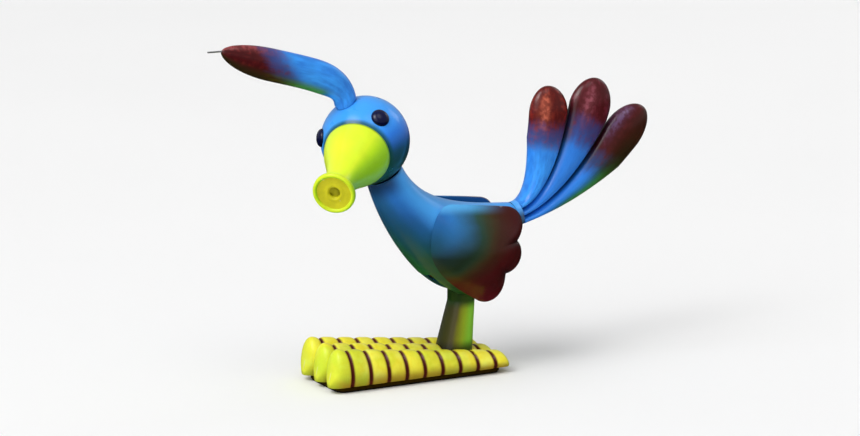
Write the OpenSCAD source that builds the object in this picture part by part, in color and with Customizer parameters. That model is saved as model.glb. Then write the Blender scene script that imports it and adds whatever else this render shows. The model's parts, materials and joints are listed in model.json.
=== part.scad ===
// Drinking bird: a balanced toy bird that rocks on an axle at the top of its leg.
// Tipped forward, it dips its trumpet-shaped bill towards a cup and swings back up.
// The bird faces -Y and its left side is +X. The origin is on the table, straight
// below the rocking axle. Lengths are in millimetres and angles in degrees.

/* [Foot] */
// Distance from the middle of one toe to the middle of the next
toe_pitch = 14.6; // [14:0.2:15.4]
// Height of the toes above the base plate at their blunt front end
toe_front_h = 19.5; // [17:0.5:20]
// Height of the toes above the base plate at their thin rear end
toe_rear_h = 7.5; // [7:0.5:9]
// How far the toes reach in front of the leg
toe_reach = 81; // [78:1:86]
// How far the toes reach behind the leg
toe_heel = 19; // [17:1:22]
// Number of ribs along a toe
toe_ribs = 10; // [8:1:12]

/* [Leg] */
// Diameter of the painted leg just below the belly
leg_top_d = 13.8; // [13.2:0.2:14.2]
// Diameter that the painted leg widens to at its foot
leg_foot_d = 20; // [19:0.5:20.5]
// Diameter of the steel post inside the leg
post_d = 8; // [7:0.5:8]

/* [Rocking pivot] */
// Diameter of the rocking axle
axle_d = 3; // [2.5:0.5:3]
// How far the bird tips forward
dip_forward = 30; // [20:1:30]
// How far the bird tips back
dip_back = 10; // [5:1:10]
// Radial clearance of a turning fit
turn_gap = 0.05; // [0.02:0.01:0.08]

/* [Body] */
// Greatest width of the body without its wings
body_w = 45; // [44:1:47]
// Wall thickness of the body shells
shell_wall = 1.4; // [1.2:0.1:1.6]
// How far the counterweight reaches in front of the axle
weight_front = 12.4; // [11:0.1:14]

/* [Head] */
// Diameter of the round head
head_d = 44; // [43.6:0.1:44.2]
// Wall thickness of the head
head_wall = 1.2; // [1:0.1:1.6]
// Angle that the head looks to the bird's left at rest
head_look = 45; // [40:1:50]
// Farthest that the head turns to the bird's left
look_left = 84; // [70:1:90]
// Farthest that the head turns to the bird's right
look_right = 74; // [60:1:80]
// Diameter of the neck rod
rod_d = 5; // [4.5:0.5:5]

/* [Bill] */
// Distance from the head's middle to the end of the bill
bill_reach = 58; // [55:1:60]
// Diameter of the bill where it leaves the head
bill_base_d = 33; // [32:0.5:34]
// Diameter of the bill at its waist
bill_waist_d = 14; // [13:0.5:15]
// Diameter of the flared end
bill_bell_d = 21; // [20:0.5:22]
// Diameter of the mouth hole
bill_hole_d = 5; // [4:0.5:6]

/* [Eyes] */
// Diameter of an eye
eye_d = 9.2; // [8.4:0.2:10]
// How far an eye stands out from the head
eye_rise = 2.2; // [1.8:0.1:2.6]

/* [Plumes] */
// Width of a tail plume, in the plane of the fan
plume_w = 20.5; // [19:0.5:21]
// Thickness of a tail plume
plume_t = 12; // [11:0.5:13]
// Depth of the crest, seen from the side
crest_w = 16; // [15:0.5:17]
// Thickness of the crest
crest_t = 10; // [9.5:0.5:11]
// Wall thickness of the hollow plumes
plume_wall = 0.9; // [0.8:0.1:1.2]

/* [Wings] */
// Thickness of a wing at its middle
wing_t = 4.5; // [4:0.5:5]
// Thickness of a wing at its rim
wing_rim = 0.8; // [0.6:0.1:1]

/* [Hidden] */

pivot = [0, 0, 72];
head_mid = [0, -53, 121.6];
neck_lean = 30;
fine = 48;

// ---- Curves and lofts ----
function mix(a, b, t) = a + (b - a) * t;
function unit(v) = v / norm(v);
function bezier(p, t) = pow(1 - t, 3) * p[0] + 3 * pow(1 - t, 2) * t * p[1]
    + 3 * (1 - t) * t * t * p[2] + pow(t, 3) * p[3];
function heading(p, t) = unit(bezier(p, t + 0.01) - bezier(p, t));

// Ring of an ellipse with half axes a and b along the unit vectors s and m
function oval(mid, s, m, a, b, n) =
    [for (j = [0:n - 1]) mid + s * a * cos(360 * j / n) + m * b * sin(360 * j / n)];

// Triangles of the side wall between each ring of n points and the next
function walls(rings, n, first = 0) =
    [for (i = [0:rings - 2]) for (j = [0:n - 1])
        let (a = first + i * n + j, b = first + i * n + (j + 1) % n)
        each [[a, a + n, b + n], [a, b + n, b]]];
function flipped(faces) = [for (f = faces) [for (i = [len(f) - 1:-1:0]) f[i]]];

// Solid through a list of rings of points, closed by a flat cap at each end
module loft(rings) {
    n = len(rings[0]);
    last = len(rings) - 1;
    caps = [[for (j = [0:n - 1]) j], [for (j = [n - 1:-1:0]) last * n + j]];
    polyhedron([for (ring = rings) each ring], concat(caps, walls(last + 1, n)));
}

// Hollow plume: an outer and an inner skin, open at the first ring and closed at the tip
module cup(outer, inner) {
    n = len(outer[0]);
    k = len(outer);
    first = n * k;
    rim = [for (j = [0:n - 1]) let (i = (j + 1) % n)
        each [[j, i, first + i], [j, first + i, first + j]]];
    tips = [[for (j = [n - 1:-1:0]) (k - 1) * n + j], [for (j = [0:n - 1]) first + (k - 1) * n + j]];
    polyhedron(concat([for (r = outer) each r], [for (r = inner) each r]),
        concat(walls(k, n), flipped(walls(k, n, first)), rim, tips));
}

// ---- Fasteners ----
// Pan-head screw along +Z with the underside of its head at z = 0
module pan_screw(d, len, head_d, head_h) {
    translate([0, 0, -head_h]) cylinder(d = head_d, h = head_h, $fn = fine);
    cylinder(d = d, h = len, $fn = fine);
}
// Countersunk screw along +Z with the top of its head at z = 0
module flat_screw(d, len, head_d) {
    cylinder(d1 = head_d, d2 = d, h = (head_d - d) / 2, $fn = fine);
    cylinder(d = d, h = len, $fn = fine);
}

// ---- Foot ----
pad_t = 1;
plate_t = 2;
plate_top = pad_t + plate_t;
plate_inset = 4;
seat_z = 7;
toe_len = toe_reach + toe_heel;
toe_screw_ys = [-62, -24];
toe_screw_d = 2.5;
toe_screw_len = 7;
toe_screw_head_d = 5;
groove_depth = 0.07;
toe_belly = 0.42;
post_flange_d = 12;
post_flange_t = 2;
bolt_d = 4;
bolt_len = 15;

// Outline of the foot from above, shrunk by the given inset
module foot_outline(inset) {
    half = 1.5 * toe_pitch - inset;
    r = 5;
    translate([0, (toe_heel - toe_reach) / 2])
        offset(r = r) square([2 * (half - r), toe_len - 2 * (inset + r)], center = true);
}

// Height and half width of a toe at the fraction t of its length
function toe_end(t) = pow(max(0.02, 1 - pow(abs(2 * t - 1), 12)), 0.45);
function toe_ring(k, i) =
    let (t = i / (4 * toe_ribs), e = toe_end(t) * (i % 4 == 0 ? 1 - groove_depth : 1),
        h = e * mix(toe_front_h, toe_rear_h, t), w = e * toe_pitch / 2 - 0.05, n = 20)
    [for (j = [0:n - 1]) let (a = 360 * j / n) [toe_pitch * k - w * cos(a), mix(-toe_reach, toe_heel, t),
        plate_top + max(0, h * mix(sin(a), 1, toe_belly))]];
module toe(k) {
    difference() {
        loft([for (i = [0:4 * toe_ribs]) toe_ring(k, i)]);
        sleeve_outline(0.2);
        for (y = toe_screw_ys) translate([k * toe_pitch, y, 0])
            cylinder(d = toe_screw_d, h = pad_t + toe_screw_len, $fn = fine);
        if (k == 0) {
            cylinder(d = post_d + 0.2, h = toe_front_h + plate_top, $fn = fine);
            cylinder(d = post_flange_d + 0.2, h = plate_top + post_flange_t + 0.1, $fn = fine);
        }
    }
}
module toe_left() { color("yellow") toe(1); }
module toe_middle() { color("yellow") toe(0); }
module toe_right() { color("yellow") toe(-1); }

module base_plate() {
    color("dimgray") difference() {
        translate([0, 0, pad_t]) linear_extrude(plate_t) foot_outline(plate_inset);
        for (k = [-1:1]) for (y = toe_screw_ys) translate([k * toe_pitch, y, pad_t])
            flat_screw(toe_screw_d + 0.1, 10, toe_screw_head_d + 0.1);
        translate([0, 0, pad_t - 0.1]) flat_screw(bolt_d + 0.1, 10, 2 * bolt_d + 0.3);
    }
}
module base_screws() {
    color("silver") for (k = [-1:1]) for (y = toe_screw_ys)
        translate([k * toe_pitch, y, pad_t]) flat_screw(toe_screw_d, toe_screw_len, toe_screw_head_d);
}
module non_slip_pad() {
    color("black") linear_extrude(pad_t) foot_outline(plate_inset + 0.5);
}

// ---- Leg ----
sleeve_top = 43.5;
sleeve_bend = 36;
sleeve_tilt = 9.5;
sleeve_y = 0.7;
sleeve_cone_len = 31;
post_top = pivot[2] + 4.5;
module leg_post() {
    color("silver") difference() {
        union() {
            translate([0, 0, plate_top]) cylinder(d = post_flange_d, h = post_flange_t, $fn = fine);
            translate([0, 0, plate_top]) cylinder(d = post_d, h = post_top - plate_top, $fn = fine);
        }
        translate([0, 0, plate_top - 1]) cylinder(d = bolt_d, h = bolt_len + 1, $fn = fine);
        translate(pivot) rotate([0, 90, 0]) cylinder(d = axle_d, h = 2 * post_d, center = true, $fn = fine);
    }
}
// Painted leg: upright where it enters the belly, leaning and widening below its bend
module sleeve_outline(extra = 0) {
    top_d = leg_top_d + extra;
    intersection() {
        translate([0, sleeve_y, sleeve_bend]) {
            cylinder(d = top_d, h = 20, $fn = fine);
            sphere(d = top_d, $fn = fine);
            rotate([180 - sleeve_tilt, 0, 0])
                cylinder(d1 = top_d, d2 = leg_foot_d + extra, h = sleeve_cone_len, $fn = fine);
        }
        translate([-20, -20, seat_z]) cube([40, 40, sleeve_top - seat_z]);
    }
}
module leg_sleeve() {
    color("yellowgreen") difference() {
        sleeve_outline();
        cylinder(d = post_d + 0.1, h = 60, $fn = fine);
    }
}
module leg_bolt() {
    color("silver") translate([0, 0, pad_t]) flat_screw(bolt_d, bolt_len, 2 * bolt_d);
}

// ---- Rocking pivot ----
cheek_in = post_d / 2 + 0.8;
cheek_t = 4;
cheek_out = cheek_in + cheek_t;
bush_d = 6;
clip_x = cheek_out + 0.8;
clip_t = 0.6;
clip_d = 6.5;
clip_groove_d = axle_d - 0.6;
washer_d = 7;
washer_t = 0.6;
bush_rim_d = bush_d + 2.5;
bush_rim_t = 0.6;
module along_x(at = pivot) { translate(at) rotate([0, 90, 0]) children(); }

module pivot_axle() {
    color("silver") along_x() difference() {
        cylinder(d = axle_d, h = 2 * clip_x + 4, center = true, $fn = fine);
        for (s = [-1, 1]) translate([0, 0, s * (clip_x + clip_t / 2)]) difference() {
            cylinder(d = axle_d + 1, h = clip_t, center = true, $fn = fine);
            cylinder(d = clip_groove_d, h = clip_t + 1, center = true, $fn = fine);
        }
    }
}
module axle_washers() {
    color("white") along_x() for (s = [-1, 1]) translate([0, 0, s * (post_d / 2 + 0.35)]) difference() {
        cylinder(d = washer_d, h = washer_t, center = true, $fn = fine);
        cylinder(d = axle_d, h = 2, center = true, $fn = fine);
    }
}
module axle_clips() {
    color("silver") along_x() for (s = [-1, 1]) translate([0, 0, s * (clip_x + clip_t / 2)]) difference() {
        cylinder(d = clip_d, h = clip_t - 0.05, center = true, $fn = fine);
        cylinder(d = clip_groove_d, h = 2, center = true, $fn = fine);
        translate([axle_d / 2 + 1, 0, 0]) cube([axle_d + 2, axle_d - 1.2, 2], center = true);
    }
}
module pivot_bush(side) {
    color("goldenrod") along_x() mirror([0, 0, side > 0 ? 0 : 1]) difference() {
        union() {
            translate([0, 0, cheek_in]) cylinder(d = bush_d, h = cheek_t, $fn = fine);
            translate([0, 0, cheek_out]) cylinder(d = bush_rim_d, h = bush_rim_t, $fn = fine);
        }
        cylinder(d = axle_d + 2 * turn_gap, h = 40, $fn = fine);
    }
}
module pivot_bush_left() { pivot_bush(1); }
module pivot_bush_right() { pivot_bush(-1); }

// Room that something below the axle needs while the body swings round it, from the
// forward dip to the backward one. Seen from the side it is a wedge, and along_x turns
// the outline's x downwards.
swing_reach = 60;
module swing_room(room) {
    front = [-sin(dip_forward), -cos(dip_forward)] * room / 2;
    back = [-sin(dip_back), cos(dip_back)] * room / 2;
    down = [cos(dip_forward), -sin(dip_forward)] * swing_reach;
    down_back = [cos(dip_back), sin(dip_back)] * swing_reach;
    along_x() linear_extrude(room, center = true)
        polygon([front, front + down, back + down_back, back]);
}
post_room = post_d + 3.4;
sleeve_room = leg_top_d + 2 * sleeve_y + 1.2;

// The part of the painted leg's room that lies beyond the leg's top end
module sleeve_sector() {
    r = pivot[2] - sleeve_top - 1.5;
    edge = asin((sleeve_room / 2 + 0.5) / r);
    angles = [for (i = [0:8]) mix(-dip_forward - edge, dip_back + edge, i / 8)];
    arc = [for (a = angles) r * [cos(a), sin(a)]];
    rim = [for (i = [8:-8:0]) swing_reach * [cos(angles[i]), sin(angles[i])]];
    along_x() linear_extrude(sleeve_room + 1, center = true) polygon(concat(arc, rim));
}

// ---- Body shells ----
neck_ring_at = 21;
neck_ring_r = 9.7;
neck_way = [0, -sin(neck_lean), cos(neck_lean)];
neck_across = [0, cos(neck_lean), sin(neck_lean)];
neck_ring = head_mid - neck_ring_at * neck_way;
tail_ring = [0, 30.5, 76.7];
tail_rise = 14;
tail_way = [0, cos(tail_rise), sin(tail_rise)];
tail_up = [0, -sin(tail_rise), cos(tail_rise)];
tail_ring_r = 6.5;
top_line = [neck_ring + neck_ring_r * neck_across, [0, -25, 88], [0, 3, 84],
    tail_ring + tail_ring_r * tail_up];
keel_line = [neck_ring - neck_ring_r * neck_across, [0, -36, 56.5], [0, 12, 1],
    tail_ring - tail_ring_r * tail_up];
half_widths = [9.9, 0.44 * body_w, 0.8 * body_w, 7];

// Points of the body's section at the fraction t, shrunk by inset, at the given angles:
// 90 is the ridge of the back, 0 the left side and -90 the keel
function body_section(t, inset, angles) =
    let (a = bezier(top_line, t), b = bezier(keel_line, t), w = bezier(half_widths, t) - inset,
        h = norm(a - b) / 2 - inset, mid = (a + b) / 2, m = unit(a - b))
    [for (q = angles) mid + [w * cos(q), 0, 0] + m * h * sin(q)];

// Half of a hollow section: the outer arc from back to keel, then the inner arc home
function shell_ring(t, n) =
    let (arc = [for (j = [0:n]) 90 - 180 * j / n], home = [for (j = [n:-1:0]) 90 - 180 * j / n])
    concat(body_section(t, 0, arc), body_section(t, shell_wall, home));
module half_shell() {
    steps = 22;
    n = 16;
    size = 2 * (n + 1);
    start = [for (j = [0:n - 1]) [j, j + 1, size - 2 - j, size - 1 - j]];
    end = flipped([for (f = start) [for (i = f) steps * size + i]]);
    polyhedron([for (i = [0:steps]) each shell_ring(i / steps, n)],
        concat(start, end, walls(steps + 1, size)));
}

// Distance of the body's side from its middle plane, at the given y and z
function section_at(y, z, lo = 0, hi = 1, step = 0) =
    let (t = (lo + hi) / 2, a = bezier(top_line, t), b = bezier(keel_line, t),
        turn = (a[1] - b[1]) * (z - b[2]) - (a[2] - b[2]) * (y - b[1]))
    step > 16 ? t : turn < 0 ? section_at(y, z, t, hi, step + 1) : section_at(y, z, lo, t, step + 1);
function body_side(y, z) =
    let (t = section_at(y, z), a = bezier(top_line, t), b = bezier(keel_line, t),
        u = ([0, y, z] - (a + b) / 2) * unit(a - b) / (norm(a - b) / 2))
    bezier(half_widths, t) * sqrt(max(0, 1 - u * u));

shell_screw_yz = [[-9, 79], [12, 74.5]];
shell_screw_d = 2.5;
wing_peg_yz = [[-10, 72], [6, 70]];
wing_peg_d = 4;
module body_shell_left() {
    color("deepskyblue") difference() {
        half_shell();
        swing_room(sleeve_room);
        for (p = shell_screw_yz) along_x([0, p[0], p[1]])
            cylinder(d = shell_screw_d + 0.2, h = 40, $fn = fine);
        for (p = wing_peg_yz) along_x([0, p[0], p[1]]) cylinder(d = wing_peg_d, h = 40, $fn = fine);
    }
}
module body_shell_right() { mirror([1, 0, 0]) body_shell_left(); }
module shell_screws() {
    color("silver") for (s = [0, 1]) mirror([s, 0, 0]) for (p = shell_screw_yz)
        along_x([body_side(p[0], p[1]) - 0.9, p[0], p[1]]) mirror([0, 0, 1])
            cylinder(d = shell_screw_d, h = 9, $fn = fine);
}

// ---- Frame inside the body ----
cheek_w = 18;
cheek_low = 20;
bridge_low = 6.6;
bridge_t = 3;
bridge_len = 24;
bridge_mid = pivot + [0, 0, bridge_low + bridge_t / 2];
beam_w = 8;
neck_beam_h = 7;
tail_beam_h = 6;
shell_boss_r = 2.6;
boss_r = 6.5;
boss_top = -25.5;
boss_bottom = -40;
grub_z = -33;
grub_d = 3;
tail_screw_d = 3;
tail_screw_z = -14.1;
weight_screw_ys = [-5.5, 5.5];
weight_screw_drop = 15;
weight_screw_d = 3;
weight_screw_at = 12.5;
weight_screw_len = 7;
hub_boss_r = 4.5;
hub_boss_at = -14;
hub_spigot_len = 9;
module neck_place() { translate(head_mid) rotate([neck_lean, 0, 0]) children(); }
module tail_place() { translate(tail_ring) rotate([tail_rise - 90, 0, 0]) children(); }

// Beam of rectangular section between two points of the middle plane
module beam(from, to, height) {
    d = to - from;
    translate(from) rotate([atan2(d[2], d[1]), 0, 0]) translate([-beam_w / 2, 0, -height / 2])
        cube([beam_w, norm(d), height]);
}

// One cheek beside the leg, with a round eye for the bush
module cheek() {
    cheek_mid = cheek_in + cheek_t / 2;
    top = bridge_low + bridge_t;
    along_x() translate([0, 0, cheek_mid])
        cylinder(d = cheek_w, h = cheek_t, center = true, $fn = fine);
    translate(pivot + [cheek_mid, 0, (top - cheek_low) / 2])
        cube([cheek_t, cheek_w, top + cheek_low], center = true);
}

// Bosses that the screws of one shell go into
module shell_bosses() {
    for (p = shell_screw_yz) along_x([cheek_in, p[0], p[1]])
        cylinder(r = shell_boss_r, h = body_side(p[0], p[1]) - shell_wall - 3 - cheek_in, $fn = fine);
}
module pivot_frame() {
    color("gainsboro") difference() {
        union() {
            for (s = [0, 1]) mirror([s, 0, 0]) {
                cheek();
                shell_bosses();
            }
            translate(bridge_mid - [0, 3, 0]) cube([2 * cheek_out, bridge_len, bridge_t], center = true);
            beam(bridge_mid + [0, -10, 0], [0, -36, 92], neck_beam_h);
            beam(bridge_mid + [0, 4, -1], tail_ring - 9 * tail_way, tail_beam_h);
            neck_place() translate([0, 0, boss_bottom])
                cylinder(r = boss_r, h = boss_top - boss_bottom, $fn = fine);
            tail_place() translate([0, 0, hub_boss_at])
                cylinder(r = hub_boss_r, h = -hub_spigot_len - hub_boss_at, $fn = fine);
        }
        along_x() cylinder(d = bush_d, h = 60, center = true, $fn = fine);
        along_x() cylinder(d = post_d + 6, h = 2 * cheek_in, center = true, $fn = fine);
        neck_place() translate([0, 0, boss_bottom - 1]) cylinder(d = rod_d, h = 40, $fn = fine);
        neck_place() translate([0, 0, grub_z]) rotate([-90, 0, 0])
            cylinder(d = grub_d, h = 20, $fn = fine);
        tail_place() {
            translate([0, 0, -30]) cylinder(d = tail_screw_d, h = 30, $fn = fine);
            translate([0, 0, -30]) cylinder(d = 6.2, h = 16, $fn = fine);
            translate([0, 0, -hub_spigot_len]) cylinder(r = 8, h = 20, $fn = fine);
        }
        for (p = shell_screw_yz) along_x([0, p[0], p[1]])
            cylinder(d = shell_screw_d, h = 60, center = true, $fn = fine);
        for (y = weight_screw_ys) along_x(pivot + [0, y, -weight_screw_drop])
            cylinder(d = weight_screw_d, h = 60, center = true, $fn = fine);
    }
}

// ---- Counterweight ----
// Brass casting that follows the inside of the belly and straddles the leg and the cheeks.
// It is lower in front of the axle than behind it, which makes up for the heavy head.
weight_top = 64;
weight_step_y = 9.3;
weight_back_top = 73.4;
module counterweight() {
    n = 24;
    steps = 18;
    inset = shell_wall + 0.3;
    cheek_room = [2 * cheek_out + 0.2, cheek_w + 0.4, 40];
    angles = [for (j = [0:n - 1]) 90 - 360 * j / n];
    color("goldenrod") difference() {
        loft([for (i = [0:steps]) body_section(mix(0.15, 0.85, i / steps), inset, angles)]);
        translate([-50, weight_step_y - 100, weight_top]) cube([100, 100, 100]);
        translate([-50, 0, weight_back_top]) cube([100, 100, 100]);
        translate([-50, -100 - weight_front, 0]) cube([100, 100, 100]);
        beam(pivot + [0, 10, 3], tail_ring - 9 * tail_way, tail_beam_h + 3);
        tail_place() translate([0, 0, hub_boss_at - 4]) cylinder(r = hub_boss_r + 0.5, h = 12, $fn = fine);
        for (p = shell_screw_yz) along_x([0, p[0], p[1]])
            cylinder(r = shell_boss_r + 0.4, h = 60, center = true, $fn = fine);
        translate(pivot + [-cheek_room[0] / 2, -cheek_room[1] / 2, -cheek_low - 0.2]) cube(cheek_room);
        swing_room(post_room);
        sleeve_sector();
        for (y = weight_screw_ys) for (s = [0, 1]) mirror([s, 0, 0])
            along_x(pivot + [weight_screw_at, y, -weight_screw_drop]) {
                cylinder(d = 6, h = 20, $fn = fine);
                cylinder(d = weight_screw_d, h = 20, center = true, $fn = fine);
            }
    }
}
module weight_screws() {
    color("silver") for (y = weight_screw_ys) for (s = [0, 1]) mirror([s, 0, 0])
        along_x(pivot + [weight_screw_at, y, -weight_screw_drop]) mirror([0, 0, 1])
            pan_screw(weight_screw_d, weight_screw_len, 5.4, 1.8);
}

// ---- Wings ----
// The outline of a wing is the envelope of rounds, each with its y, its z and its radius.
// Two rows of rounds follow curves down the front edge and along the top edge, and each
// of the three feather tips ends in a round of its own.
wing_front = [[-13, 75, 13], [-13.5, 66, 15.5], [-4, 58, 14], [7.5, 46.5, 10]];
wing_top = [[-13, 75, 13], [-5, 75.3, 11.9], [8, 75, 10.8], [18, 74.6, 9.8]];
feather_tip = [18.5, 59.5, 9];
wing_rounds = concat([for (i = [0:10]) bezier(wing_front, i / 10)],
    [for (i = [1:8]) bezier(wing_top, i / 8)], [feather_tip]);
wing_mid = [0, 66];
wing_min_x = 13;
wing_gap = 0.3;
function ray(c, a) =
    let (e = [c[0], c[1]] - wing_mid, b = e * [cos(a), sin(a)], q = b * b - e * e + c[2] * c[2])
    q < 0 ? 0 : b + sqrt(q);
function wing_edge(a) = max([for (c = wing_rounds) ray(c, a)]);
function wing_ring(k, rise, n) =
    [for (j = [0:n - 1]) let (a = 360 * j / n, r = wing_edge(a) * k, y = wing_mid[0] + r * cos(a),
        z = wing_mid[1] + r * sin(a)) [max(wing_min_x, body_side(y, z)) + wing_gap + rise, y, z]];
module wing_left() {
    n = 56;
    color("steelblue") difference() {
        loft(concat([for (k = [0.15, 0.4, 0.65, 0.85, 0.985]) wing_ring(k, 0, n)],
            [for (k = [1, 0.97, 0.9, 0.78, 0.6, 0.4, 0.15])
                wing_ring(k, wing_rim + (wing_t - wing_rim) * sqrt(1 - pow(k, 3)), n)]));
        for (p = wing_peg_yz) along_x([0, p[0], p[1]])
            cylinder(d = wing_peg_d, h = body_side(p[0], p[1]) + 2.5, $fn = fine);
    }
}
module wing_right() { mirror([1, 0, 0]) wing_left(); }
module wing_pegs() {
    color("gainsboro") for (s = [0, 1]) mirror([s, 0, 0]) for (p = wing_peg_yz)
        along_x([body_side(p[0], p[1]) - 3, p[0], p[1]])
            cylinder(d = wing_peg_d - 0.05, h = 5.3, $fn = fine);
}

// ---- Tail ----
hub_t = 3;
root_gap = 4;
root = tail_ring + (hub_t + 0.1) * tail_way;
tail_spines = [
    [root + root_gap * tail_up, root + root_gap * tail_up + 10 * tail_way, [0, 51, 105], [0, 50, 141]],
    [root, root + 17 * tail_way, [0, 71, 105], [0, 79, 143]],
    [root - root_gap * tail_up, root - root_gap * tail_up + 20 * tail_way, [0, 79, 92], [0, 107.5, 126]]];
round_from = 0.86;
inner_swell = 1.14;
plume_shares = [0.455, 0.485];
stations = concat([for (i = [0:12]) round_from * i / 12],
    [for (b = [25, 48, 66, 82]) round_from + (1 - round_from) * sin(b)]);
function tip_factor(t) = t < round_from ? 1
    : sqrt(max(0, 1 - pow((t - round_from) / (1 - round_from), 2)));

// How far plume k reaches towards a neighbour, given as the lower number of the two, and
// to its free side: it stops short of its neighbour and swells a little more towards it
function spine_share(low, t) =
    plume_shares[low] * norm(bezier(tail_spines[low], t) - bezier(tail_spines[low + 1], t));
function side_reach(low, t) = min(inner_swell * plume_w / 2, spine_share(low, t));
function free_reach(low, t) = min(plume_w / 2, spine_share(low, t));
function rear_reach(k, t) = k < 2 ? side_reach(k, t) : free_reach(1, t);
function front_reach(k, t) = k > 0 ? side_reach(k - 1, t) : free_reach(0, t);
function plume_ring(k, t, wall) =
    let (d = heading(tail_spines[k], t), s = [1, 0, 0], m = cross(d, s), f = tip_factor(t),
        rear = rear_reach(k, t), front = front_reach(k, t))
    oval(bezier(tail_spines[k], t * (1 - wall / 80)) + m * f * (rear - front) / 2, s, m,
        max(0.1, f * plume_t / 2 - wall), max(0.1, f * (rear + front) / 2 - wall), 16);
module tail_plume(k) {
    color("maroon") cup([for (t = stations) plume_ring(k, t, 0)],
        [for (t = stations) plume_ring(k, t, plume_wall * (t < 0.4 ? 0.75 : 1))]);
}
module tail_plume_front() { tail_plume(0); }
module tail_plume_middle() { tail_plume(1); }
module tail_plume_rear() { tail_plume(2); }
module tail_socket() {
    color("deepskyblue") tail_place() difference() {
        union() {
            translate([0, 0, -hub_spigot_len]) cylinder(r = hub_boss_r - 0.2, h = hub_spigot_len, $fn = fine);
            cylinder(r = tail_ring_r, h = hub_t, $fn = fine);
            for (k = [-1:1]) translate([-3.5, k * root_gap - 0.5, 0]) cube([7, 1, hub_t + 2.5]);
        }
        translate([0, 0, -10]) cylinder(d = tail_screw_d, h = 10, $fn = fine);
    }
}
module tail_screw() {
    color("silver") tail_place() translate([0, 0, tail_screw_z]) pan_screw(tail_screw_d, 12, 5.6, 2);
}

// ---- Neck and crest ----
flange_d = 9.6;
bush_od = 8;
bush_out = head_d / 2 + 0.9;
bush_in = head_d / 2 - 4.5;
flange_in = head_d / 2 - 2;
rod_top = 33;
rod_wall = 1;
stop_z = -15;
stop_pin_d = 2;
stop_r = rod_d / 2 + 0.3;
module neck_rod() {
    color("silver") neck_place() difference() {
        translate([0, 0, boss_bottom]) cylinder(d = rod_d, h = rod_top - boss_bottom, $fn = fine);
        translate([0, 0, boss_bottom - 1]) cylinder(d = rod_d - 2 * rod_wall, h = 90, $fn = fine);
        translate([0, 0, stop_z]) rotate([90, 0, 0])
            cylinder(d = stop_pin_d, h = 20, center = true, $fn = fine);
    }
}
module neck_grub_screw() {
    color("silver") neck_place() translate([0, rod_d / 2, grub_z]) rotate([-90, 0, 0])
        cylinder(d = grub_d, h = 5, $fn = fine);
}
module neck_seat() {
    color("midnightblue") neck_place() difference() {
        translate([0, 0, boss_top]) cylinder(r = neck_ring_r - shell_wall - 0.3, h = 4.6, $fn = fine);
        sphere(d = head_d + 1.4, $fn = 96);
        translate([0, 0, -head_d / 2 - 1.2]) cylinder(d = flange_d + 0.8, h = 5, $fn = fine);
        translate([0, 0, boss_top - 1]) cylinder(d = rod_d + 0.1, h = 10, $fn = fine);
    }
}
module neck_stop_pin() {
    color("silver") neck_place() translate([0, 6.4, stop_z]) rotate([90, 0, 0])
        cylinder(d = stop_pin_d, h = 8.9, $fn = fine);
}

crest_start = 21.3;
crest_root_d = 11;
crest_spine = [head_mid + crest_start * neck_way, [0, -64, 157], [0, -92, 157],
    [0, -129.5, 170.8]];
crest_full = 0.74;
crest_stations = concat([for (i = [0:14]) crest_full * i / 14],
    [for (b = [15, 30, 45, 60, 72, 82]) crest_full + (1 - crest_full) * sin(b)]);
function crest_factor(t) = t < crest_full ? 1
    : pow(max(0, 1 - pow((t - crest_full) / (1 - crest_full), 2.2)), 0.55);

// The crest is slender and round at its root and swells to its full depth before its middle
function crest_swell(t) = t < 0.45 ? pow(sin(200 * t), 2) : 1;
function crest_ring(t, wall) =
    let (d = heading(crest_spine, t), s = [1, 0, 0], f = crest_factor(t), g = crest_swell(t))
    oval(bezier(crest_spine, t), s, cross(d, s), max(0.15, f * mix(crest_root_d, crest_t, g) / 2 - wall),
        max(0.15, f * mix(crest_root_d, crest_w, g) / 2 - wall), 16);
module crest_plume() {
    color("maroon") difference() {
        loft([for (t = crest_stations) crest_ring(t, 0)]);
        loft([for (t = [0.27:0.07:0.9]) crest_ring(t, plume_wall)]);
        translate(head_mid) sphere(d = head_d + 0.8, $fn = 96);
        neck_place() cylinder(d = rod_d, h = rod_top + 0.2, $fn = fine);
        neck_place() cylinder(d = flange_d + 0.6, h = head_d / 2 + 1.3, $fn = fine);
        tip_wire();
    }
}
module tip_wire() {
    translate(bezier(crest_spine, 1) + [0, 1, 0]) rotate([90, 0, 0]) cylinder(d = 0.8, h = 8, $fn = fine);
}
module crest_tip_wire() { color("dimgray") tip_wire(); }

// ---- Head ----
spigot_r = 13;
bill_pitch = 4.5;
eye_way = [0.764, -0.336, 0.55];
module head_place() { neck_place() rotate([0, 0, head_look]) children(); }
module bill_place() { head_place() rotate([90 - bill_pitch, 0, 0]) children(); }
module eye_place(side) {
    around = atan2(eye_way[1], side * eye_way[0]);
    head_place() rotate([0, 0, around]) rotate([0, acos(eye_way[2]), 0]) children();
}
module head_shell() {
    color("deepskyblue") difference() {
        translate(head_mid) sphere(d = head_d, $fn = 96);
        translate(head_mid) sphere(d = head_d - 2 * head_wall, $fn = 96);
        bill_place() cylinder(r = spigot_r, h = 40, $fn = fine);
        head_place() cylinder(d = bush_od, h = 80, center = true, $fn = fine);
        for (s = [-1, 1]) eye_place(s) cylinder(d = 4, h = 40, $fn = fine);
    }
}

// Nylon bush that lines the head's opening for the neck, along +Z of the neck
module head_bush() {
    difference() {
        union() {
            translate([0, 0, bush_in]) cylinder(d = bush_od - 0.04, h = bush_out - bush_in, $fn = fine);
            translate([0, 0, flange_in]) cylinder(d = flange_d, h = bush_out - flange_in, $fn = fine);
        }
        difference() {
            sphere(d = head_d, $fn = 96);
            cylinder(d = bush_od - 0.04, h = 60, $fn = fine);
        }
        cylinder(d = rod_d + 2 * turn_gap, h = 60, $fn = fine);
    }
}
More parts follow.
